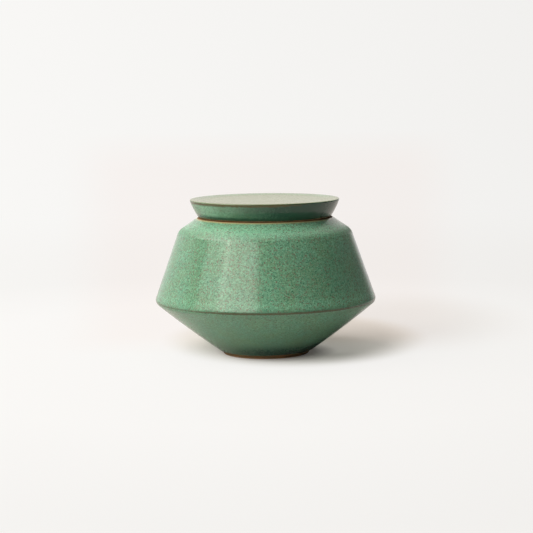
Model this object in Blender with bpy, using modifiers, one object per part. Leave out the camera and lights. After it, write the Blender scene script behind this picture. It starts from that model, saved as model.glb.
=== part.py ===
"""A squat stoneware jar with a ridged, double-cone body and a flat lid that drops into its mouth.

Metres, +Z up. The origin is the centre of the foot, on the surface that the jar stands on.
Both pieces are bodies of revolution about Z, turned from profiles made of straight and bowed
stretches with rounded corners. Radii and heights are those of the corners before rounding.
"""

import math

import bpy
from mathutils import Vector

# Outside of the jar, from the foot up to the mouth.
RIDGE_HEIGHT = 0.04135
UPPER_WALL_HEIGHT = 0.0541
SHOULDER_RISE = 0.0101
NECK_RADIUS = 0.0519
SHOULDER_WIDTH = 0.0147
RIDGE_SPREAD = 0.0191
LOWER_WALL_BOW = 0.00075
RIDGE_ROUNDING = 0.0036
SHOULDER_ROUNDING = 0.0086
RIM_OUTER_ROUNDING = 0.0008

# Foot: a low turned ring round a shallow recess.
FOOT_RADIUS = 0.0333
FOOT_SIDE = 0.0009
FOOT_ROUNDING = 0.0006
FOOT_RING_WIDTH = 0.0068
FOOT_RECESS_DEPTH = 0.0018
FOOT_RECESS_ROUNDING = 0.0010

# Inside of the jar.
WALL = 0.0052
FLOOR_THICKNESS = 0.0060
FLOOR_ROUNDING = 0.0150
RIDGE_INNER_ROUNDING = 0.0120
SHOULDER_INNER_ROUNDING = 0.0080
RIM_WIDTH = 0.0061
MOUTH_LAND = 0.0034
MOUTH_INNER_ROUNDING = 0.0020
RIM_INNER_ROUNDING = 0.0010

# Lid, from its seat on the rim upwards.
SEAT_GAP = 0.0003
LID_THICKNESS = 0.0138
LID_OVERHANG = 0.0060
LID_TOP_ROUNDING = 0.0008
LID_SIDE_BOW = 0.0005
LID_SEAT_INSET = 0.0010
LID_SEAT_ROUNDING = 0.0011
LID_EDGE_BAND = 0.0048
LID_DISH_DEPTH = 0.0007

# Ring under the lid that keeps it centred in the mouth.
RING_CLEARANCE = 0.0012
RING_DEPTH = 0.0092
RING_WALL = 0.0046
RING_TAPER = 0.0006
RING_TIP_ROUNDING = 0.0016
RING_ROOT_ROUNDING = 0.0008
LID_WEB = 0.0066
LID_CEILING_ROUNDING = 0.0060

# Fineness of the turned surfaces.
TURN_STEPS = 64
CHORD_ERROR = 0.00006  # how far a facet may lie inside the arc that it stands for
BOW_STRETCHES = 5
DISH_STRETCHES = 3
SPARE_LEG_SHARE = 0.48  # the most of a straight stretch that one rounding may use up
WELD_DISTANCE = 0.00002


def clear_scene():
    for obj in list(bpy.data.objects):
        bpy.data.objects.remove(obj, do_unlink=True)


def rounded_corner(before, corner, after, rounding):
    """The points of an arc that rounds a corner, or the corner itself where it stays sharp."""
    back, onward = before - corner, after - corner
    half = back.angle(onward) / 2
    longest = SPARE_LEG_SHARE * min(back.length, onward.length)
    reach = min(rounding / math.tan(half), longest)
    if reach < WELD_DISTANCE:
        return [corner]
    radius = reach * math.tan(half)
    back.normalize()
    onward.normalize()
    centre = corner + (back + onward).normalized() * (radius / math.sin(half))
    start = corner + back * reach - centre
    end = corner + onward * reach - centre
    sweep = math.pi - 2 * half
    widest_step = 2 * math.acos(1 - min(CHORD_ERROR / radius, 1))
    count = max(2, math.ceil(sweep / widest_step))
    points = []
    for step in range(count + 1):
        angle = sweep * step / count
        points.append(centre + (start * math.sin(sweep - angle) + end * math.sin(angle)) / math.sin(sweep))
    return points


def bowed_stretch(start, end, bow):
    """The points between start and end on a shallow curve that stands out by bow in the middle."""
    along = end - start
    outward = Vector((-along.y, along.x)).normalized()
    points = []
    for step in range(1, BOW_STRETCHES):
        share = step / BOW_STRETCHES
        points.append(start + along * share + outward * (bow * 4 * share * (1 - share)))
    return points


def profile_points(corners):
    """The points of a profile from its corners: (radius, height, rounding, bow of the stretch after it)."""
    places = [Vector((radius, height)) for radius, height, _, _ in corners]
    points = [places[0]]
    for index in range(1, len(corners)):
        bow = corners[index - 1][3]
        if index < len(corners) - 1:
            arc = rounded_corner(places[index - 1], places[index], places[index + 1], corners[index][2])
        else:
            arc = [places[index]]
        if bow:
            points += bowed_stretch(points[-1], arc[0], bow)
        points += arc
    return points


def line_inside(start, end, depth):
    """A point and the direction of the line through start and end, moved by depth to its right."""
    along = (end - start).normalized()
    return start + Vector((along.y, -along.x)) * depth, along


def crossing(first, second):
    """The point where two lines cross, each given as a point and a direction."""
    (start, along), (other, across) = first, second
    gap = other - start
    distance = (gap.x * across.y - gap.y * across.x) / (along.x * across.y - along.y * across.x)
    return start + along * distance


def turned_object(name, points, material, collection):
    """A solid of revolution about Z. Its profile starts and ends on the axis and runs down its outer side."""
    mesh = bpy.data.meshes.new(name)
    edges = [(index, index + 1) for index in range(len(points) - 1)]
    mesh.from_pydata([(point.x, 0, point.y) for point in points], edges, [])
    mesh.materials.append(material)
    obj = bpy.data.objects.new(name, mesh)
    collection.objects.link(obj)
    screw = obj.modifiers.new("turn", "SCREW")
    screw.axis = "Z"
    screw.angle = math.tau
    screw.steps = TURN_STEPS
    screw.render_steps = TURN_STEPS
    screw.use_merge_vertices = True
    screw.merge_threshold = WELD_DISTANCE
    screw.use_smooth_shade = True
    return obj


def stoneware(name, colour, roughness):
    material = bpy.data.materials.new(name)
    material.use_nodes = True
    shader = material.node_tree.nodes["Principled BSDF"]
    shader.inputs["Base Color"].default_value = (*colour, 1)
    shader.inputs["Roughness"].default_value = roughness
    shader.inputs["Metallic"].default_value = 0
    material.diffuse_color = (*colour, 1)
    return material


def jar_profile(rim_height, mouth_radius):
    """From the middle of the floor up the inside, over the rim, and down the outside to the middle of the base."""
    foot = Vector((FOOT_RADIUS, FOOT_SIDE))
    shoulder = Vector((NECK_RADIUS + SHOULDER_WIDTH, rim_height - SHOULDER_RISE))
    ridge = Vector((shoulder.x + RIDGE_SPREAD, RIDGE_HEIGHT))
    neck = Vector((NECK_RADIUS, rim_height))

    # The inside follows the outside at the wall's thickness.
    floor_height = FOOT_RECESS_DEPTH + FLOOR_THICKNESS
    floor_line = (Vector((0, floor_height)), Vector((1, 0)))
    lower_line = line_inside(ridge, foot, WALL)
    upper_line = line_inside(shoulder, ridge, WALL)
    shoulder_line = line_inside(neck, shoulder, WALL)
    floor_corner = crossing(floor_line, lower_line)
    ridge_corner = crossing(lower_line, upper_line)
    shoulder_corner = crossing(upper_line, shoulder_line)

    ring_inner_radius = FOOT_RADIUS - FOOT_RING_WIDTH
    return profile_points(
        [
            (0, floor_height, 0, 0),
            (*floor_corner, FLOOR_ROUNDING, 0),
            (*ridge_corner, RIDGE_INNER_ROUNDING, 0),
            (*shoulder_corner, SHOULDER_INNER_ROUNDING, 0),
            (mouth_radius, rim_height - MOUTH_LAND, MOUTH_INNER_ROUNDING, 0),
            (mouth_radius, rim_height, RIM_INNER_ROUNDING, 0),
            (*neck, RIM_OUTER_ROUNDING, 0),
            (*shoulder, SHOULDER_ROUNDING, 0),
            (*ridge, RIDGE_ROUNDING, LOWER_WALL_BOW),
            (*foot, 0, 0),
            (FOOT_RADIUS, 0, FOOT_ROUNDING, 0),
            (ring_inner_radius, 0, 0, 0),
            (ring_inner_radius, FOOT_RECESS_DEPTH, FOOT_RECESS_ROUNDING, 0),
            (0, FOOT_RECESS_DEPTH, 0, 0),
        ]
    )


def dish_points(dish_radius):
    """The slightly hollow face of the lid, from its middle out to just short of the flat band."""
    points = []
    for step in range(DISH_STRETCHES):
        share = step / DISH_STRETCHES
        points.append(Vector((dish_radius * share, LID_THICKNESS - LID_DISH_DEPTH * (1 - share * share))))
    return points


def lid_profile(mouth_radius):
    """From the middle of the face over the edge, down the side to the seat, and round the ring to the ceiling."""
    lid_radius = NECK_RADIUS + LID_OVERHANG
    seat_radius = NECK_RADIUS - LID_SEAT_INSET
    dish_radius = lid_radius - LID_EDGE_BAND
    ring_radius = mouth_radius - RING_CLEARANCE
    ring_inner_radius = ring_radius - RING_WALL
    ceiling = LID_THICKNESS - LID_WEB
    return dish_points(dish_radius) + profile_points(
        [
            (dish_radius, LID_THICKNESS, 0, 0),
            (lid_radius, LID_THICKNESS, LID_TOP_ROUNDING, LID_SIDE_BOW),
            (seat_radius, 0, LID_SEAT_ROUNDING, 0),
            (ring_radius, 0, RING_ROOT_ROUNDING, 0),
            (ring_radius - RING_TAPER, -RING_DEPTH, RING_TIP_ROUNDING, 0),
            (ring_inner_radius + RING_TAPER, -RING_DEPTH, RING_TIP_ROUNDING, 0),
            (ring_inner_radius, ceiling, LID_CEILING_ROUNDING, 0),
            (0, ceiling, 0, 0),
        ]
    )


def main():
    clear_scene()
    collection = bpy.data.collections.new("lidded_jar")
    bpy.context.scene.collection.children.link(collection)
    jar_glaze = stoneware("speckled_green_glaze", (0.165, 0.345, 0.215), 0.42)
    lid_glaze = stoneware("speckled_green_lid_glaze", (0.150, 0.320, 0.200), 0.40)

    rim_height = RIDGE_HEIGHT + UPPER_WALL_HEIGHT + SHOULDER_RISE
    mouth_radius = NECK_RADIUS - RIM_WIDTH
    jar_body = turned_object("jar_body", jar_profile(rim_height, mouth_radius), jar_glaze, collection)
    lid = turned_object("lid", lid_profile(mouth_radius), lid_glaze, collection)
    lid.parent = jar_body
    lid.location = (0, 0, rim_height + SEAT_GAP)


main()
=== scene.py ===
import math

import bmesh
import bpy
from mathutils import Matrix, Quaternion, Vector, noise


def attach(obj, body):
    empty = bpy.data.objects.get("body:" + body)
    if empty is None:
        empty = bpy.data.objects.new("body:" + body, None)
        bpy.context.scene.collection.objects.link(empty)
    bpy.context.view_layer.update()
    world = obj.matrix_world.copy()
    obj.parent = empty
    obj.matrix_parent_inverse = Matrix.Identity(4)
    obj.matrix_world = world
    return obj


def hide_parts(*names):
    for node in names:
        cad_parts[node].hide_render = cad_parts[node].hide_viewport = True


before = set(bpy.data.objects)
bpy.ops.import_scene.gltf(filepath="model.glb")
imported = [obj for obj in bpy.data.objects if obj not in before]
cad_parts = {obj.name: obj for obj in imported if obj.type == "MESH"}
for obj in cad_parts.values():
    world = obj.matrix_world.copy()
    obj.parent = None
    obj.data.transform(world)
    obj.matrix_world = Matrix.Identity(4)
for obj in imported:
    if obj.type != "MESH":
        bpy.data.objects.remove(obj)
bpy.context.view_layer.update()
scene = bpy.context.scene
mm = 0.001  # the frame is in metres, and the pot's sizes below are in millimetres
tau = math.tau
print("frame loaded")


def linearColour(code):
    # sRGB hex to the linear values that a shader wants
    parts = [int(code[at:at + 2], 16) / 255 for at in (1, 3, 5)]
    return (*[p / 12.92 if p <= 0.04045 else ((p + 0.055) / 1.055) ** 2.4 for p in parts], 1.0)


def addNode(tree, kind, inputs=None, **settings):
    # adds one node with its settings, and fills its inputs with values or links; several inputs named
    # together take as many values
    node = tree.nodes.new(kind)
    for key, value in settings.items():
        setattr(node, key, value)
    for key, value in (inputs or {}).items():
        for socket, given in zip(key, value) if isinstance(key, tuple) else ((key, value),):
            if isinstance(given, bpy.types.NodeSocket):
                tree.links.new(given, node.inputs[socket])
            else:
                node.inputs[socket].default_value = given
    return node


def softStep(value, start, end):
    share = min(max((value - start) / (end - start), 0.0), 1.0)
    return share * share * (3 - 2 * share)


def eased(value, first, change, start, end):
    # the first amount, changed by so much as the value goes from start to end
    return first + change * softStep(value, start, end)


def acrossPot(at):
    # from -1 at the pot's left, as the camera sees it, to 1 at its right
    return at.x / at.xy.length


def aroundPot(angle, lobes, seed):
    # smooth noise from about -1 to 1 that closes on itself round the pot
    return 1.6 * noise.noise(Vector((lobes * math.cos(angle), lobes * math.sin(angle), seed)))


# the wheel: a profile is drawn as a wire, its corners are rounded, and then it is painted and spun

wheel = {
    "roundingShare": 0.48,  # the most of a straight stretch that one rounded corner takes
    "leastRounding": 0.01, "degreesPerCut": 6, "leastCuts": 3,
    "bowBand": 0.8,  # points this near to a straight stretch bow with it
    "mergeWithin": 0.004,
}


def drawProfile(bm, shape):
    places = [Vector((radius, 0, height)) * mm for radius, height, rounding, finish in shape["corners"]]
    wire = [bm.verts.new(place) for place in places]
    for near, far in zip(wire[:-1], wire[1:]):
        bm.edges.new((near, far))
    for index in range(1, len(places) - 1):
        rounding = shape["corners"][index][2] * mm
        back = places[index - 1] - places[index]
        onward = places[index + 1] - places[index]
        half = back.angle(onward) / 2
        reach = min(rounding / math.tan(half), wheel["roundingShare"] * back.length,
                    wheel["roundingShare"] * onward.length)
        if reach > wheel["leastRounding"] * mm:
            cuts = math.ceil((math.pi - 2 * half) / math.radians(wheel["degreesPerCut"]))
            bmesh.ops.bevel(bm, geom=[wire[index]], offset=reach, offset_type="OFFSET", affect="VERTICES",
                            segments=max(wheel["leastCuts"], cuts), profile=0.5, material=-1)
    for edge in bm.edges[:]:
        cuts = math.ceil(edge.calc_length() / (shape["ringSpacing"] * mm)) - 1
        if cuts > 0:
            bmesh.ops.subdivide_edges(bm, edges=[edge], cuts=cuts)

    # the wire's points in order, and the point that stands nearest to each corner
    here = min(bm.verts, key=lambda vert: (vert.co - places[0]).length)
    chain, seen = [here], {here}
    while True:
        onward = [edge.other_vert(here) for edge in here.link_edges if edge.other_vert(here) not in seen]
        if not onward:
            break
        here = onward[0]
        seen.add(here)
        chain.append(here)
    cornerAt = [min(range(len(chain)), key=lambda at: (chain[at].co - place).length) for place in places]

    for start, end, bow in shape["bows"]:
        first, last = Vector((start[0], 0, start[1])) * mm, Vector((end[0], 0, end[1])) * mm
        along = (last - first).normalized()
        outward = Vector((-along.z, 0, along.x))
        for vert in chain:
            share = (vert.co - first).dot(along) / (last - first).length
            if 0 < share < 1 and abs((vert.co - first).dot(outward)) < wheel["bowBand"] * mm:
                vert.co += outward * bow * mm * 4 * share * (1 - share)
    return chain, cornerAt


def markClay(bm, chain, cornerAt, corners):
    # bare clay runs between corners that are both marked so, and the rest is glazed
    bare = bm.verts.layers.float["bareClay"]
    for index, (near, far) in enumerate(zip(cornerAt[:-1], cornerAt[1:])):
        if corners[index][3] == corners[index + 1][3] == "clay":
            for at in range(near, far + 1):
                chain[at][bare] = 1.0


def markLine(bm, chain, name, place, before, after, strength):
    # paints a soft line on the profile, so many millimetres wide to each side of a place on it
    layer = bm.verts.layers.float[name]
    target = Vector((place[0], 0, place[1])) * mm
    middle = min(range(len(chain)), key=lambda at: (chain[at].co - target).length)
    for step, width in ((-1, before), (1, after)):
        at, run = middle, 0.0
        while run < width * mm:
            chain[at][layer] = max(chain[at][layer], strength * (1 - softStep(run, 0, width * mm)))
            if not 0 <= at + step < len(chain):
                break
            run += (chain[at + step].co - chain[at].co).length
            at += step


def spinProfile(bm, sectors, stepsInSector):
    # one sector is spun from the wire, and then repeated all round, which is quicker than one long spin
    bmesh.ops.spin(bm, geom=bm.verts[:] + bm.edges[:], cent=(0, 0, 0), axis=(0, 0, 1), angle=tau / sectors,
                   steps=stepsInSector, use_merge=False, use_duplicate=False)
    bmesh.ops.spin(bm, geom=bm.verts[:] + bm.edges[:] + bm.faces[:], cent=(0, 0, 0), axis=(0, 0, 1),
                   angle=tau - tau / sectors, steps=sectors - 1, use_merge=False, use_duplicate=True)
    bmesh.ops.remove_doubles(bm, verts=bm.verts[:], dist=wheel["mergeWithin"] * mm)
    bmesh.ops.recalc_face_normals(bm, faces=bm.faces[:])
    bm.normal_update()


def throwPot(shape):
    # one number per point for each painted name; these come first, because a new one drops the points
    # held so far
    bm = bmesh.new()
    for name in dict.fromkeys(["bareClay", *(mark[0] for mark in shape["lines"] + shape["spans"])]):
        bm.verts.layers.float.new(name)
    chain, cornerAt = drawProfile(bm, shape)
    markClay(bm, chain, cornerAt, shape["corners"])
    for line in shape["lines"]:
        markLine(bm, chain, *line)
    for name, (first, firstMore), (last, lastMore) in shape["spans"]:
        for at in range(cornerAt[first] + firstMore, cornerAt[last] + lastMore):
            chain[at][bm.verts.layers.float[name]] = 1.0
    spinProfile(bm, shape["sectors"], shape["stepsInSector"])
    return bm


def fadeRound(bm, name, share):
    # lets a painted value vary from place to place
    layer = bm.verts.layers.float[name]
    for vert in bm.verts:
        if vert[layer]:
            vert[layer] *= share(vert.co)


def pressRings(bm, name, depthAt):
    # presses throwing or turning marks into the surface, inwards only
    layer = bm.verts.layers.float[name]
    for vert in bm.verts:
        if vert[layer]:
            vert.co -= vert.normal * vert[layer] * depthAt(vert.co) * mm
    bm.verts.layers.float.remove(layer)


def waverLine(bm, name, wave):
    # carries a painted line to and fro as it goes round; its direction is in the profile's plane
    layer = bm.verts.layers.float[name]
    for vert in bm.verts:
        if vert[layer]:
            angle = math.atan2(vert.co.y, vert.co.x)
            move = (wave["front"] * -math.sin(angle) + wave["right"] * math.cos(angle)
                    + wave["uneven"] * aroundPot(angle, wave["lobes"], wave["seed"]))
            outward = Vector((math.cos(angle), math.sin(angle), 0))
            direction = outward * wave["direction"][0] + Vector((0, 0, wave["direction"][1]))
            vert.co += direction * (vert[layer] * move * mm)
    bm.verts.layers.float.remove(layer)


def finishPiece(bm, name, glaze, clay):
    bare = bm.verts.layers.float["bareClay"]
    for face in bm.faces:
        face.smooth = True
        face.material_index = 1 if all(vert[bare] > 0.5 for vert in face.verts) else 0
    bm.verts.layers.float.remove(bare)
    mesh = bpy.data.meshes.new(name)
    bm.to_mesh(mesh)
    bm.free()
    mesh.materials.append(glaze)
    mesh.materials.append(clay)
    piece = bpy.data.objects.new(name, mesh)
    scene.collection.objects.link(piece)
    print(name, len(mesh.vertices), "points", len(mesh.polygons), "faces")
    return piece


# the glazes and the clay; all sizes are in millimetres, and a range is where a noise starts and ends
# to show, with how strongly it shows in the end where there is a third number

glazeLook = {
    "moss": "#77A280", "green": "#72A588", "cloudRange": (0.36, 0.64),
    "milk": "#8ECCA8", "milkRange": (0.46, 0.60, 0.6),
    "copper": "#2C795C", "copperRange": (0.50, 0.36, 0.6),
    "face": "#8B8F58", "faceShare": 0.80,  # only the lid has a level face
    # deep green where the glaze lies thick, also laid on as painted shade
    "deep": "#1F5944", "deepAndShadeRange": (0.35, 0.65), "blotches": (0.85, 1.45),
    "breaking": "#505236", "breakRange": (0.30, 0.80, 0.95), "breakUneven": 0.9,
    "edge": "#C2BE88",
    # size and detail; the real grain is finer, and is drawn as coarse as it needs to show
    "clouds": (15.0, 3.0), "mottle": (1.5, 2.0), "grain": (0.8, 1.5), "peel": (3.2, 1.0),
    "calmFace": 0.45, "calmDeepAndShade": 0.55,  # how far the mottle and the specks fade there
    # spacing, radius, share of the cells that hold one, colour, strength; the smallest real specks are
    # left out, and these are drawn at the size at which they are seen
    "specks": {
        "copper": (1.0, 0.50, 0.90, "#24503E", 0.95),
        "iron": (1.2, 0.76, 0.90, "#7A6A5E", 0.95),
        "pinhole": (8.0, 0.85, 0.50, "#1C2E26", 1.0),
    },
    "speckShake": 0.7, "speckLeast": -0.18, "speckEdge": (-0.02, 0.25), "speckFaintest": 0.55,
    "ior": 1.53, "roughRange": (0.3, 0.7), "roughness": (0.14, 0.20), "mattRoughness": 0.30,
    "peelHeight": 0.05, "grainHeight": 0.018, "speckHeight": -0.012,
}

# the lid's glaze is paler, and its specks are softer and fewer
lidGlazeLook = {
    **glazeLook,
    "green": "#90C4A4", "milk": "#A0D0B0", "milkRange": (0.46, 0.60, 0.25), "breaking": "#56522C",
    # its deep green also serves as the lid side's painted shade
    "deep": "#224F3C", "blotches": (1.0, 1.2),
    "specks": {
        "copper": (1.0, 0.45, 0.80, "#3C6C56", 0.6),
        "iron": (1.4, 0.80, 0.70, "#6C5C4C", 0.6),
    },
}

clayLook = {
    "clay": "#907856", "flash": "#A27A52", "toneSize": 6.0, "toneRange": (0.35, 0.65),
    # place in the pattern, share of the cells that hold one, colour
    "grains": {"grog": (0.0, 0.35, "#4A3828"), "sand": (31.0, 0.25, "#B2946E")},
    "grainSpacing": 0.9, "grainRadius": (-0.1, 0.3), "grainEdge": (0.0, 0.08, 0.8),
    "roughness": 0.88, "toothSize": 0.35, "toothHeight": 0.05, "noiseDetail": 3.0,
}


def speckledGlaze(name, look):
    # Satin copper glaze over iron-speckled stoneware, poured and fired in reduction: cloudy green with
    # a soft sheen, peppered by iron that bleeds up from the clay, and brown where it runs thin.
    material = bpy.data.materials.new(name)
    material.use_nodes = True
    tree = material.node_tree
    shader = tree.nodes["Principled BSDF"]
    position = addNode(tree, "ShaderNodeTexCoord").outputs["Object"]
    place = addNode(tree, "ShaderNodeVectorMath", {0: position, 1: (1000, 1000, 1000)},
                    operation="MULTIPLY").outputs[0]  # in millimetres
    clouds, mottle, grain, peel = (
        addNode(tree, "ShaderNodeTexNoise", {"Vector": place, "Scale": 1 / size, "Detail": detail}).outputs
        for size, detail in (look["clouds"], look["mottle"], look["grain"], look["peel"]))

    # painted on the mesh: the lid's level face, where the glaze lies deep or shade is painted in, where it is
    # milky, quiet or matt, where it runs thin, and its own edge
    face, deep, milky, quiet, matt, thin, edge = (
        addNode(tree, "ShaderNodeAttribute", attribute_name=painted).outputs["Fac"]
        for painted in ("faceGlaze", "deepGlaze", "milkGlaze", "quietGlaze", "mattGlaze", "glazeThin",
                        "glazeEdge"))
    calm = addNode(tree, "ShaderNodeMath", {0: face, 1: look["calmFace"], 2: quiet},
                   operation="MULTIPLY_ADD").outputs[0]
    calm = addNode(tree, "ShaderNodeMath", {0: deep, 1: look["calmDeepAndShade"], 2: calm},
                   operation="MULTIPLY_ADD", use_clamp=True).outputs[0]
    lively = addNode(tree, "ShaderNodeMath", {0: 1.0, 1: calm}, operation="SUBTRACT").outputs[0]

    # cloudy ground: yellower where the glaze is thinner, with milky mottle and coppery grain
    cloudShare = addNode(tree, "ShaderNodeMapRange", {0: clouds[0], (1, 2): look["cloudRange"]}).outputs[0]
    colour = addNode(tree, "ShaderNodeMix", {0: cloudShare, 6: linearColour(look["moss"]),
                                             7: linearColour(look["green"])}, data_type="RGBA").outputs[2]
    milkShare = addNode(tree, "ShaderNodeMapRange", {0: mottle[0], (1, 2, 4): look["milkRange"]}).outputs[0]
    milkCover = addNode(tree, "ShaderNodeMath", {0: milkShare, 1: lively, 2: milky},
                        operation="MULTIPLY_ADD", use_clamp=True).outputs[0]
    grainShare = addNode(tree, "ShaderNodeMapRange", {0: grain[0], (1, 2, 4): look["copperRange"]}).outputs[0]
    copperCover = addNode(tree, "ShaderNodeMath", {0: grainShare, 1: lively}, operation="MULTIPLY").outputs[0]
    faceCover = addNode(tree, "ShaderNodeMath", {0: face, 1: look["faceShare"]},
                        operation="MULTIPLY").outputs[0]
    coats = [(milkCover, look["milk"]), (copperCover, look["copper"]), (faceCover, look["face"])]

    # iron specks: at most one to a cell, of mixed size and strength, with ragged outlines
    shaken = addNode(tree, "ShaderNodeVectorMath", {0: grain[1], 1: [look["speckShake"]] * 3, 2: place},
                     operation="MULTIPLY_ADD").outputs[0]
    dent = 0.0
    for spacing, radius, share, code, strength in look["specks"].values():
        widest = radius / spacing
        cells = addNode(tree, "ShaderNodeTexVoronoi", {"Vector": shaken, "Scale": 1 / spacing}).outputs
        chance = addNode(tree, "ShaderNodeSeparateColor", {0: cells["Color"]}).outputs
        size = addNode(tree, "ShaderNodeMapRange", {0: chance[0], 1: 1 - share, 2: 1.0,
                                                    3: look["speckLeast"] * widest, 4: widest}).outputs[0]
        inside = addNode(tree, "ShaderNodeMath", {0: size, 1: cells["Distance"]},
                         operation="SUBTRACT").outputs[0]
        spot = addNode(tree, "ShaderNodeMapRange", {0: inside, 1: look["speckEdge"][0],
                                                    2: look["speckEdge"][1] * widest},
                       interpolation_type="SMOOTHSTEP").outputs[0]
        faded = addNode(tree, "ShaderNodeMapRange", {0: chance[1], 3: look["speckFaintest"] * strength,
                                                     4: strength}).outputs[0]
        cover = addNode(tree, "ShaderNodeMath", {0: spot, 1: faded}, operation="MULTIPLY").outputs[0]
        cover = addNode(tree, "ShaderNodeMath", {0: cover, 1: lively}, operation="MULTIPLY").outputs[0]
        coats.append((cover, code))
        dent = addNode(tree, "ShaderNodeMath", {0: dent, 1: spot}, operation="MAXIMUM").outputs[0]

    # deep green where it lies thick and where shade is painted in, brown where it breaks over an edge, and
    # pale at its own edge
    blotchy = addNode(tree, "ShaderNodeMapRange", {0: mottle[0], (1, 2): look["deepAndShadeRange"],
                                                   (3, 4): look["blotches"]}).outputs[0]
    deepAndShadeCover = addNode(tree, "ShaderNodeMath", {0: deep, 1: blotchy}, operation="MULTIPLY",
                        use_clamp=True).outputs[0]
    uneven = addNode(tree, "ShaderNodeMath", {0: mottle[0], 1: look["breakUneven"],
                                              2: -look["breakUneven"] / 2},
                     operation="MULTIPLY_ADD").outputs[0]
    thinner = addNode(tree, "ShaderNodeMath", {0: thin, 1: uneven}, operation="ADD").outputs[0]
    broken = addNode(tree, "ShaderNodeMapRange", {0: thinner, (1, 2, 4): look["breakRange"]}).outputs[0]
    coats += [(deepAndShadeCover, look["deep"]), (broken, look["breaking"]), (edge, look["edge"])]
    for cover, code in coats:
        colour = addNode(tree, "ShaderNodeMix", {0: cover, 6: colour, 7: linearColour(code)},
                         data_type="RGBA").outputs[2]
    tree.links.new(colour, shader.inputs["Base Color"])

    # satin: a little rougher in the milky mottle, and matt where the glaze dried on a corner
    rough = addNode(tree, "ShaderNodeMapRange", {0: mottle[0], (1, 2): look["roughRange"],
                                                 (3, 4): look["roughness"]}).outputs[0]
    rough = addNode(tree, "ShaderNodeMath", {0: matt, 1: look["mattRoughness"], 2: rough},
                    operation="MULTIPLY_ADD").outputs[0]
    tree.links.new(rough, shader.inputs["Roughness"])
    shader.inputs["IOR"].default_value = look["ior"]

    # relief in millimetres: a faint orange peel, the grain, and a dent at each speck
    relief = 0.0
    for noiseAt, height in ((peel[0], look["peelHeight"]), (grain[0], look["grainHeight"]),
                            (dent, look["speckHeight"])):
        relief = addNode(tree, "ShaderNodeMath", {0: noiseAt, 1: height, 2: relief},
                         operation="MULTIPLY_ADD").outputs[0]
    bump = addNode(tree, "ShaderNodeBump", {"Strength": 1.0, "Distance": mm, "Height": relief})
    tree.links.new(bump.outputs[0], shader.inputs["Normal"])
    return material


def bareStoneware(name, look):
    # Unglazed iron-bearing stoneware, turned and wiped: matt and gritty, warm brown with dark grog and
    # pale sand in it. The tooth of the real clay is finer, and is drawn as coarse as it needs to show.
    material = bpy.data.materials.new(name)
    material.use_nodes = True
    tree = material.node_tree
    shader = tree.nodes["Principled BSDF"]
    position = addNode(tree, "ShaderNodeTexCoord").outputs["Object"]
    place = addNode(tree, "ShaderNodeVectorMath", {0: position, 1: (1000, 1000, 1000)},
                    operation="MULTIPLY").outputs[0]  # in millimetres
    tone, tooth = (
        addNode(tree, "ShaderNodeTexNoise", {"Vector": place, "Scale": 1 / size,
                                             "Detail": look["noiseDetail"]}).outputs[0]
        for size in (look["toneSize"], look["toothSize"]))
    toneShare = addNode(tree, "ShaderNodeMapRange", {0: tone, (1, 2): look["toneRange"]}).outputs[0]
    colour = addNode(tree, "ShaderNodeMix", {0: toneShare, 6: linearColour(look["clay"]),
                                             7: linearColour(look["flash"])}, data_type="RGBA").outputs[2]
    for seed, share, code in look["grains"].values():
        moved = addNode(tree, "ShaderNodeVectorMath", {0: place, 1: (seed, seed, seed)}).outputs[0]
        cells = addNode(tree, "ShaderNodeTexVoronoi",
                        {"Vector": moved, "Scale": 1 / look["grainSpacing"]}).outputs
        chance = addNode(tree, "ShaderNodeSeparateColor", {0: cells["Color"]}).outputs[0]
        size = addNode(tree, "ShaderNodeMapRange", {0: chance, 1: 1 - share, 2: 1.0,
                                                    (3, 4): look["grainRadius"]}).outputs[0]
        inside = addNode(tree, "ShaderNodeMath", {0: size, 1: cells["Distance"]},
                         operation="SUBTRACT").outputs[0]
        spot = addNode(tree, "ShaderNodeMapRange", {0: inside, (1, 2, 4): look["grainEdge"]}).outputs[0]
        colour = addNode(tree, "ShaderNodeMix", {0: spot, 6: colour, 7: linearColour(code)},
                         data_type="RGBA").outputs[2]
    tree.links.new(colour, shader.inputs["Base Color"])
    shader.inputs["Roughness"].default_value = look["roughness"]
    bump = addNode(tree, "ShaderNodeBump", {"Strength": 1.0, "Distance": look["toothHeight"] * mm,
                                            "Height": tooth})
    tree.links.new(bump.outputs[0], shader.inputs["Normal"])
    return material


jarGlaze = speckledGlaze("copper_green_satin_glaze", glazeLook)
lidGlaze = speckledGlaze("copper_green_satin_lid_glaze", lidGlazeLook)
bareClay = bareStoneware("bare_brown_stoneware", clayLook)
print("glazes and clay mixed")


# the jar: thrown, trimmed to a ridge, glazed inside and out, wiped at the mouth and the foot

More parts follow.
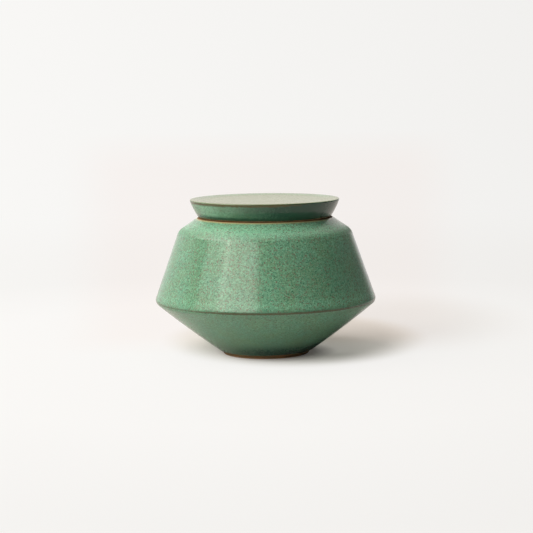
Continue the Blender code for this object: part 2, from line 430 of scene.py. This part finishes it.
jar = {
    "sectors": 16, "stepsInSector": 15, "ringSpacing": 1.7,
    # radius, height, rounding and finish, from the floor inside up to the mouth and down to the foot
    "corners": [
        (0, 7.8, 0, "glaze"),
        (33.73, 7.8, 15.0, "glaze"),
        (79.54, 43.17, 12.0, "glaze"),
        (62.26, 92.12, 8.0, "glaze"),
        (45.8, 102.15, 2.0, "glaze"),
        (45.8, 103.35, 0.15, "glaze"),      # the glaze ends inside the mouth
        (45.98, 103.5, 0.1, "clay"),
        (45.95, 105.55, 0.95, "clay"),      # the seat
        (51.55, 105.55, 0.7, "clay"),
        (52.05, 105.2, 0.1, "clay"),
        (52.35, 105.24, 0.16, "glaze"),     # the glaze starts again below the rim's corner
        (66.6, 95.45, 8.6, "glaze"),
        (85.7, 41.35, 3.6, "glaze"),        # the ridge, corner 12
        (36.15, 3.10, 0.2, "glaze"),        # the glaze stops short of the foot
        (35.81, 3.12, 0.12, "clay"),
        (33.15, 1.05, 0.3, "clay"),
        (33.15, 0, 0.6, "clay"),
        (26.5, 0, 0.5, "clay"),
        (26.5, 2.0, 0.9, "clay"),
        (24.9, 2.0, 0.1, "clay"),
        (24.6, 1.8, 0.15, "glaze"),
        (0, 1.8, 0, "glaze"),
    ],
    # a slight belly on a straight stretch: from, to, and how far it stands out in the middle
    "bows": [((85.7, 41.35), (33.3, 0.9), 0.75)],
    # painted lines: radius and height, width before and after it on the profile, strength
    "lines": [
        ("glazeThin", (84.95, 42.15), 2.0, 1.4, 1.0),   # brown along the ridge
        ("deepGlaze", (37.5, 4.2), 20, 3, 1.0),         # pooled above the foot, with painted shade, most at the right
        # painted shade down the wall and along the ridge, most at the right
        ("deepGlaze", (76.2, 68.4), 30, 40, 1.0),
        ("deepGlaze", (84.9, 42.9), 2.4, 2.5, 0.38),
        ("mattGlaze", (65.2, 96.0), 8, 5, 1.0),         # dried on the shoulder's corner
        ("milkGlaze", (60.0, 100.0), 14, 9, 0.9),       # milky over the shoulder
        ("milkGlaze", (84.4, 46.4), 6, 2.5, 0.3),
        ("glazeEdge", (52.35, 105.24), 0.6, 1.8, 1.0),
        ("glazeEdge", (45.8, 103.35), 0.9, 0.5, 0.7),
        ("footWave", (36.0, 3.1), 7.0, 2.5, 1.0),
        ("rimWave", (52.25, 105.24), 0.6, 2.5, 1.0),
        ("innerRings", (70, 38), 75, 60, 1.0),
        ("outerRings", (76, 66), 24, 18, 1.0),
    ],
    # painted spans: from one corner to another, each with so many rings added
    "spans": [("quietGlaze", (12, 2), (13, 0))],        # the lower wall is calmer
    "quietByHeight": (0.65, -0.35, 15, 38), "milkAcross": (0.65, 0.35, -0.7, 0.1),
    "thinFade": 0.4, "thinLeft": (0.2, 0.8), "thinRight": (0.5, 0.95),
    # where the deep green and its painted shade lie above the foot, along the ridge and on the wall
    "footPoolTop": 25, "footShadeAcross": (-1.3, 0.1), "ridgeShadeTop": (42.8, 45.8),
    "ridgeShadeAcross": (1.0, -0.9, 0.2, 0.7), "wallShadeAcross": (0.0, 0.2, 0.0, 0.9),
    "innerMarks": (0.14, 6.5), "outerMarks": (0.02, 4.3, 0.5),  # depth, spacing, and how uneven that is
    "waves": {
        "footWave": {"direction": (0.79, 0.61), "front": 0.35, "right": 0.35, "uneven": 0.45, "lobes": 2.2,
                     "seed": 3.1},
        "rimWave": {"direction": (0.82, -0.57), "front": 0.0, "right": 0.0, "uneven": 0.12, "lobes": 3.0,
                    "seed": 9.4},
    },
}


def jarPoolingAndShade(at):
    # the glaze lies thick above the foot; there, along the ridge and a little down the right of the wall,
    # painted shade darkens it too, least at the left, where the lamps are
    side = acrossPot(at)
    if at.z < jar["footPoolTop"] * mm:
        return softStep(side, *jar["footShadeAcross"])
    onWall = eased(side, *jar["wallShadeAcross"])
    onRidge = eased(-side, *jar["ridgeShadeAcross"])
    return onRidge + softStep(at.z / mm, *jar["ridgeShadeTop"]) * (onWall - onRidge)


def jarThinness(at):
    # the brown line at the ridge is weaker at both sides
    side = acrossPot(at)
    return 1.0 - jar["thinFade"] * max(softStep(-side, *jar["thinLeft"]), softStep(side, *jar["thinRight"]))


def innerMarks(at):
    # the spiral that the fingers left
    depth, spacing = jar["innerMarks"]
    return depth * (1 + math.sin(at.z / mm * tau / spacing + math.atan2(at.y, at.x)))


def outerMarks(at):
    # faint rings of uneven spacing, where the rib smoothed the wall
    depth, spacing, uneven = jar["outerMarks"]
    return depth * (1 + math.sin(at.z / mm * tau / spacing + uneven * math.sin(at.z / mm)))


def makeJar():
    bm = throwPot(jar)
    fadeRound(bm, "deepGlaze", jarPoolingAndShade)
    fadeRound(bm, "quietGlaze", lambda at: eased(at.z / mm, *jar["quietByHeight"]))
    fadeRound(bm, "milkGlaze", lambda at: eased(acrossPot(at), *jar["milkAcross"]))
    fadeRound(bm, "glazeThin", jarThinness)
    pressRings(bm, "innerRings", innerMarks)
    pressRings(bm, "outerRings", outerMarks)
    for name, wave in jar["waves"].items():
        waverLine(bm, name, wave)
    piece = finishPiece(bm, "glazed_jar", jarGlaze, bareClay)
    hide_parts("jar_body")
    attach(piece, "jar")


# the lid: a turned disc with a locating ring, bare where it touches the jar

lid = {
    "sectors": 16, "stepsInSector": 15, "ringSpacing": 1.2,
    # radius, height, rounding and finish, from the middle of the face out, down and in to the hollow
    "corners": [
        (0, 118.45, 0, "glaze"),
        (30.0, 118.53, 40.0, "glaze"),      # the face is slightly dished, most of all beside its rim
        (45.0, 118.83, 40.0, "glaze"),
        (55.0, 119.65, 3.0, "glaze"),
        (57.9, 119.65, 0.8, "glaze"),       # the top edge, corner 4
        (51.32, 106.62, 0.2, "glaze"),      # the glaze stops just short of the seat
        (51.06, 106.50, 0.1, "clay"),
        (50.7, 105.85, 1.0, "clay"),
        (44.6, 105.85, 0.8, "clay"),
        (44.0, 96.65, 1.6, "clay"),
        (40.8, 96.65, 1.6, "clay"),
        (40.72, 99.3, 0.1, "clay"),
        (40.5, 99.6, 0.15, "glaze"),        # the hollow is glazed
        (40.0, 113.05, 6.0, "glaze"),
        (0, 113.05, 0, "glaze"),
    ],
    "bows": [((57.9, 119.65), (50.9, 105.85), 0.5)],
    "lines": [
        ("glazeThin", (57.3, 118.5), 1.9, 2.6, 1.0),    # brown along the top edge
        # painted shade along the side's lower edge, above the seat
        ("deepGlaze", (51.6, 107.3), 14, 1, 1.0),
        ("seatWave", (51.3, 106.62), 3.0, 0.6, 1.0),
        ("faceRings", (0, 118.45), 1, 55, 1.0),
    ],
    # the side takes painted shade, and the face its olive
    "spans": [("deepGlaze", (4, 0), (5, 0)), ("faceGlaze", (0, 0), (4, -1))],
    # the side's painted shade, the face's painted reflection at its rim, and the brown edge's fade
    "shadeBandHeights": (110.8, 107.6), "shadeTurn": 30, "shadeSpan": (-0.5, 0.95),
    "faceFade": 0.5, "faceEdge": (42, 54), "faceBack": (-10, 25), "thinAcross": (1.0, -0.7, 0.1, 0.7),
    "faceMarks": (0.05, 8.5),  # depth and spacing
    "seatWave": {"direction": (0.45, 0.89), "front": 0.0, "right": 0.0, "uneven": 0.15, "lobes": 3.0,
                 "seed": 5.7},
}


def lidShade(at):
    # painted shade on the side: a darker band along its lower edge, and darker towards the front right
    lowerBand = softStep(at.z / mm, *lid["shadeBandHeights"])
    turned = math.cos(math.atan2(at.y, at.x) + math.radians(lid["shadeTurn"]))
    return max(lowerBand, softStep(turned, *lid["shadeSpan"]))


def faceReflectionFade(at):
    # painted reflection: the face's olive is weaker at its rim towards the back, where less pale sheen shows
    atEdge = softStep(at.xy.length / mm, *lid["faceEdge"])
    return 1.0 - lid["faceFade"] * atEdge * softStep(at.y / mm, *lid["faceBack"])


def faceMarks(at):
    depth, spacing = lid["faceMarks"]
    return depth * (1 + math.sin(at.xy.length / mm * tau / spacing))


def makeLid():
    bm = throwPot(lid)
    fadeRound(bm, "deepGlaze", lidShade)
    fadeRound(bm, "faceGlaze", faceReflectionFade)
    fadeRound(bm, "glazeThin", lambda at: eased(acrossPot(at), *lid["thinAcross"]))
    pressRings(bm, "faceRings", faceMarks)
    waverLine(bm, "seatWave", lid["seatWave"])
    piece = finishPiece(bm, "glazed_lid", lidGlaze, bareClay)
    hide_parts("lid")
    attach(piece, "lid")


makeJar()
makeLid()


# the camera stands low in front of the jar, a little above its lid
view = {"place": (0, -1.22572, 0.2128), "aim": (0.00092, 0, 0.06683), "lowerBand": -0.66, "lens": 107.69,
        "sensor": 36}


# the studio: softboxes at the left and the left front, weak ones above and behind, and a pale sweep that
# the camera sees as even white and the glaze as a paper backdrop

studio = {
    "paleLeft": "#F9F8F6", "paleRight": "#F1F0EE", "paleWidth": 0.2,
    "paperAbove": "#FFFCF8", "paperTop": (0.12, 0.40), "paperLean": 0.4,
    "darkFrom": (0.35, 0.60), "darkShare": 0.2,
    # turn and tilt in degrees as seen from the pot, width and height over the distance, radiance, colour
    "softboxes": {
        "frontSoftbox": (-31.6, 26, 0.68, 0.42, 3.48, "#FFF5EC"),
        "sideSoftbox": (-66, 33, 0.50, 0.50, 2.2, "#FFF0E4"),
        "leftSoftbox": (-82, 52, 1.15, 0.72, 3.5, "#FFF6EE"),
        "topSoftbox": (4, 80, 0.80, 0.80, 0.76, "#FFFFFF"),
        "backSoftbox": (178, 60, 1.20, 0.70, 0.72, "#FFF2E4"),
    },
    "softboxDistance": 5.0, "softboxAim": (0, 0, 0.06), "roomColour": "#FFF8F0", "roomDim": 0.015,
}


def fromCamera(turn, tilt):
    # a direction from the pot: turn is counted from the camera's side to the right, tilt upwards
    turn, tilt = math.radians(turn), math.radians(tilt)
    return Vector((math.sin(turn) * math.cos(tilt), -math.cos(turn) * math.cos(tilt), math.sin(tilt)))


def hangSoftbox(name, turn, tilt, width, height, radiance, colour):
    distance = studio["softboxDistance"]
    data = bpy.data.lights.new(name, "AREA")
    data.shape = "RECTANGLE"
    data.color = linearColour(colour)[:3]
    data.size, data.size_y = width * distance, height * distance
    # P watts over an area give P / (pi area) of radiance
    data.energy = radiance * math.pi * data.size * data.size_y
    lamp = bpy.data.objects.new(name, data)
    direction = fromCamera(turn, tilt)
    lamp.location = Vector(studio["softboxAim"]) + direction * distance
    lamp.rotation_mode = "QUATERNION"
    lamp.rotation_quaternion = direction.to_track_quat("Z", "Y")
    lamp.visible_camera = False
    scene.collection.objects.link(lamp)


def paleBackdrop(tree, slant):
    # the sweep is a shade lighter at the camera's left
    share = addNode(tree, "ShaderNodeMapRange", {0: slant, 1: -studio["paleWidth"], 2: studio["paleWidth"]})
    return addNode(tree, "ShaderNodeMix", {0: share.outputs[0], 6: linearColour(studio["paleLeft"]),
                                           7: linearColour(studio["paleRight"])}, data_type="RGBA").outputs[2]


def seenDirectly(tree):
    # 1 for what the camera sees, also by reflection or through glass, and 0 for light on surfaces
    path = addNode(tree, "ShaderNodeLightPath").outputs
    either = addNode(tree, "ShaderNodeMath", {0: path["Is Camera Ray"], 1: path["Is Glossy Ray"]},
                     operation="MAXIMUM")
    return addNode(tree, "ShaderNodeMath", {0: either.outputs[0], 1: path["Is Transmission Ray"]},
                   operation="MAXIMUM").outputs[0]


def belowPaperTop(tree, direction):
    # the paper backdrop stands high behind the pot and low at the camera's side, and the room above is dim
    parts = addNode(tree, "ShaderNodeSeparateXYZ", {0: direction}).outputs
    leaning = addNode(tree, "ShaderNodeMath", {0: parts[1], 1: -studio["paperLean"], 2: parts[2]},
                      operation="MULTIPLY_ADD")
    return addNode(tree, "ShaderNodeMapRange", {0: leaning.outputs[0], (1, 2): studio["paperTop"],
                                                3: 1.0, 4: 0.0},
                   interpolation_type="SMOOTHSTEP").outputs[0]


def darkSide(tree, direction):
    # reflections find less white at the camera's right, where the room is unlit
    across = addNode(tree, "ShaderNodeSeparateXYZ", {0: direction}).outputs[0]
    return addNode(tree, "ShaderNodeMapRange", {0: across, (1, 2): studio["darkFrom"], 3: 1.0,
                                                4: studio["darkShare"]}).outputs[0]


def whiteToCamera(tree, share):
    # the camera itself sees white all round
    path = addNode(tree, "ShaderNodeLightPath").outputs
    return addNode(tree, "ShaderNodeMapRange", {0: path["Is Camera Ray"], 3: share}).outputs[0]


def buildWorld():
    world = bpy.data.worlds.new("paleStudio")
    world.use_nodes = True
    scene.world = world
    tree = world.node_tree
    tree.nodes.clear()
    direction = addNode(tree, "ShaderNodeTexCoord").outputs["Generated"]
    across = addNode(tree, "ShaderNodeSeparateXYZ", {0: direction}).outputs[0]
    # the glaze reflects the upper part of the sweep, where it is a shade warmer
    path = addNode(tree, "ShaderNodeLightPath").outputs
    upper = addNode(tree, "ShaderNodeMix", {0: path["Is Glossy Ray"], 6: paleBackdrop(tree, across),
                                            7: linearColour(studio["paperAbove"])},
                    data_type="RGBA", blend_type="MULTIPLY")
    backdrop = addNode(tree, "ShaderNodeBackground", {0: upper.outputs[2]})
    paper = addNode(tree, "ShaderNodeMath", {0: belowPaperTop(tree, direction), 1: darkSide(tree, direction)},
                    operation="MULTIPLY").outputs[0]
    paperShare = addNode(tree, "ShaderNodeMath", {0: seenDirectly(tree), 1: whiteToCamera(tree, paper)},
                         operation="MULTIPLY").outputs[0]
    room = addNode(tree, "ShaderNodeBackground", {0: linearColour(studio["roomColour"]),
                                                  1: studio["roomDim"]})
    mixed = addNode(tree, "ShaderNodeMixShader", {0: paperShare, 1: room.outputs[0], 2: backdrop.outputs[0]})
    addNode(tree, "ShaderNodeOutputWorld", {0: mixed.outputs[0]})


# the paper under the pot, in metres. The camera sees it as lit paper mixed with even light: the shares of
# even light are the lifts, which fill the shadow as the room's own light would

sweep = {
    "halfSize": 60, "paper": "#E2E1DF",
    # centre and spread of each patch, and where from its centre outwards (0 to 1) it fades
    "shadow": ((0.024, 0.068, 0), (0.094, 0.120, 1)), "shadowFade": (0.75, 1.2),
    "tail": ((0.130, 0.170, 0), (0.090, 0.150, 1)), "tailFade": (0.3, 1.3),  # its soft end, at the back right
    "contactLift": 0.12, "shadowLift": 0.33, "farLift": 0.25, "leftLift": 0.31, "tailLift": 0.60,
    "openLift": 0.90,
    "contactDepth": (-0.045, 0.0), "farDepth": (0.02, 0.08), "leftSide": (-0.01, -0.045),
    "foot": (0.008, 0.002, 0), "footReach": (0.030, 0.048, 0.25, 1.0),
    "openReach": (0.5, 1.3),  # from here on the paper runs out into the even paleness of the backdrop
    "shadowNear": "#F0ECE3", "shadowFar": "#EFE4D6", "warmSide": (-0.03, 0.04),
    "blush": "#FFFBFA", "blushWidth": (0.13, 0.085), "blushDepths": ((-0.01, 0.08), (5.0, 2.5)),
    "glow": (0.28, 0.48, 1.04, 1.0),
    "bounce": "#D0CFCE", "farBounce": "#3A3836", "bounceReach": (0.5, 1.0),
}


def paintLift(tree, position, parts, openness, farther):
    # the shadow is darkest under the foot, and its soft end lies at the back right
    tailAside = addNode(tree, "ShaderNodeVectorMath", {0: position, 1: sweep["tail"][0]},
                        operation="SUBTRACT")
    tailAside = addNode(tree, "ShaderNodeVectorMath", {0: tailAside.outputs[0], 1: sweep["tail"][1]},
                        operation="DIVIDE")
    tailRing = addNode(tree, "ShaderNodeVectorMath", {0: tailAside.outputs[0]}, operation="LENGTH")
    openLift = addNode(tree, "ShaderNodeMapRange", {0: tailRing.outputs["Value"], (1, 2): sweep["tailFade"],
                                                    3: sweep["tailLift"], 4: sweep["openLift"]},
                       interpolation_type="SMOOTHSTEP").outputs[0]
    shaded = addNode(tree, "ShaderNodeMapRange", {0: parts[1], (1, 2): sweep["contactDepth"],
                                                  3: sweep["contactLift"], 4: sweep["shadowLift"]}).outputs[0]
    shaded = addNode(tree, "ShaderNodeMapRange", {0: farther, 3: shaded, 4: sweep["farLift"]}).outputs[0]
    shaded = addNode(tree, "ShaderNodeMapRange", {0: parts[0], (1, 2): sweep["leftSide"], 3: shaded,
                                                  4: sweep["leftLift"]}).outputs[0]
    lift = addNode(tree, "ShaderNodeMapRange", {0: openness, 3: shaded, 4: openLift}).outputs[0]
    underFoot = addNode(tree, "ShaderNodeVectorMath", {0: position, 1: sweep["foot"]}, operation="SUBTRACT")
    underFoot = addNode(tree, "ShaderNodeVectorMath", {0: underFoot.outputs[0]}, operation="LENGTH")
    contact = addNode(tree, "ShaderNodeMapRange", {0: underFoot.outputs["Value"],
                                                   (1, 2, 3, 4): sweep["footReach"]}).outputs[0]
    return addNode(tree, "ShaderNodeMath", {0: lift, 1: contact}, operation="MULTIPLY").outputs[0]


def buildFloor():
    bm = bmesh.new()
    bmesh.ops.create_grid(bm, x_segments=4, y_segments=4, size=sweep["halfSize"])
    mesh = bpy.data.meshes.new("sweep")
    bm.to_mesh(mesh)
    bm.free()
    floor = bpy.data.objects.new("sweep", mesh)
    scene.collection.objects.link(floor)
    material = bpy.data.materials.new("matt_white_paper")  # plain matt paper, even and without grain
    material.use_nodes = True
    tree = material.node_tree
    tree.nodes.clear()
    position = addNode(tree, "ShaderNodeTexCoord").outputs["Object"]
    parts = addNode(tree, "ShaderNodeSeparateXYZ", {0: position}).outputs
    reach = addNode(tree, "ShaderNodeVectorMath", {0: position}, operation="LENGTH").outputs["Value"]

    # how open the paper lies round the shadow, and how far behind the pot
    aside = addNode(tree, "ShaderNodeVectorMath", {0: position, 1: sweep["shadow"][0]}, operation="SUBTRACT")
    aside = addNode(tree, "ShaderNodeVectorMath", {0: aside.outputs[0], 1: sweep["shadow"][1]},
                    operation="DIVIDE")
    ring = addNode(tree, "ShaderNodeVectorMath", {0: aside.outputs[0]}, operation="LENGTH").outputs["Value"]
    openness = addNode(tree, "ShaderNodeMapRange", {0: ring, (1, 2): sweep["shadowFade"]},
                       interpolation_type="SMOOTHSTEP").outputs[0]
    farther = addNode(tree, "ShaderNodeMapRange", {0: parts[1], (1, 2): sweep["farDepth"]},
                      interpolation_type="SMOOTHSTEP").outputs[0]

    # the share of even light in what the camera and the reflections see
    path = addNode(tree, "ShaderNodeLightPath").outputs
    near = addNode(tree, "ShaderNodeMath", {0: path["Is Camera Ray"],
                                            1: paintLift(tree, position, parts, openness, farther)},
                   operation="MULTIPLY").outputs[0]
    outward = addNode(tree, "ShaderNodeVectorMath", {0: position}, operation="NORMALIZE").outputs[0]
    far = addNode(tree, "ShaderNodeMapRange", {0: reach, (1, 2): sweep["openReach"],
                                               4: whiteToCamera(tree, darkSide(tree, outward))},
                  interpolation_type="SMOOTHSTEP").outputs[0]
    evenShare = addNode(tree, "ShaderNodeMapRange", {0: far, 3: near, 4: 1.0}).outputs[0]

    # its colour: warm in the shadow, most of all at the back right, and elsewhere that of the backdrop,
    # with the same change from left to right, so that the two meet unseen at the horizon
    warm = addNode(tree, "ShaderNodeMapRange", {0: parts[0], (1, 2): sweep["warmSide"],
                                                4: farther}).outputs[0]
    shade = addNode(tree, "ShaderNodeMix", {0: warm, 6: linearColour(sweep["shadowNear"]),
                                            7: linearColour(sweep["shadowFar"])}, data_type="RGBA").outputs[2]
    away = addNode(tree, "ShaderNodeMath", {0: reach, 1: -view["place"][1]}).outputs[0]
    slant = addNode(tree, "ShaderNodeMath", {0: parts[0], 1: away}, operation="DIVIDE").outputs[0]
    fill = addNode(tree, "ShaderNodeMix", {0: openness, 6: shade, 7: paleBackdrop(tree, slant)},
                   data_type="RGBA").outputs[2]
    # a faint blush on the paper behind the pot, as wide as the pot looks
    slope = addNode(tree, "ShaderNodeMath", {0: slant}, operation="ABSOLUTE").outputs[0]
    blush = addNode(tree, "ShaderNodeMapRange", {0: slope, (1, 2): sweep["blushWidth"]},
                    interpolation_type="SMOOTHSTEP").outputs[0]
    for depths in sweep["blushDepths"]:
        blush = addNode(tree, "ShaderNodeMapRange", {0: parts[1], (1, 2): depths, 4: blush}).outputs[0]
    fill = addNode(tree, "ShaderNodeMix", {0: blush, 6: fill, 7: linearColour(sweep["blush"])},
                   data_type="RGBA", blend_type="MULTIPLY").outputs[2]
    glow = addNode(tree, "ShaderNodeMapRange", {0: reach, (1, 2, 3, 4): sweep["glow"]}).outputs[0]
    evenLight = addNode(tree, "ShaderNodeEmission", {0: fill, 1: glow})
    paper = addNode(tree, "ShaderNodeBsdfDiffuse", {0: linearColour(sweep["paper"])})
    shown = addNode(tree, "ShaderNodeMixShader", {0: evenShare, 1: paper.outputs[0], 2: evenLight.outputs[0]})

    # what lights the pot from below: the same paper, but greyer, and dark where it lies far from the pot
    distant = addNode(tree, "ShaderNodeMapRange", {0: reach, (1, 2): sweep["bounceReach"]}).outputs[0]
    bounce = addNode(tree, "ShaderNodeMix", {0: distant, 6: linearColour(sweep["bounce"]),
                                             7: linearColour(sweep["farBounce"])},
                     data_type="RGBA").outputs[2]
    greyer = addNode(tree, "ShaderNodeBsdfDiffuse", {0: bounce})
    mixed = addNode(tree, "ShaderNodeMixShader", {0: seenDirectly(tree), 1: greyer.outputs[0],
                                                  2: shown.outputs[0]})
    addNode(tree, "ShaderNodeOutputMaterial", {0: mixed.outputs[0]})
    mesh.materials.append(material)


buildWorld()
buildFloor()
for softbox, settings in studio["softboxes"].items():
    hangSoftbox(softbox, *settings)
print("studio lit")

camera = bpy.data.objects.new("camera", bpy.data.cameras.new("camera"))
camera.data.lens = view["lens"]
camera.data.sensor_width = view["sensor"]
camera.location = view["place"]
towards = Vector(view["aim"]) - Vector(view["place"])
turned = towards.to_track_quat("-Z", "Y") @ Quaternion((0, 0, 1), math.radians(view["lowerBand"]))
camera.rotation_euler = turned.to_euler()
scene.collection.objects.link(camera)
scene.camera = camera
print("camera placed")

scene.view_settings.view_transform = "Standard"
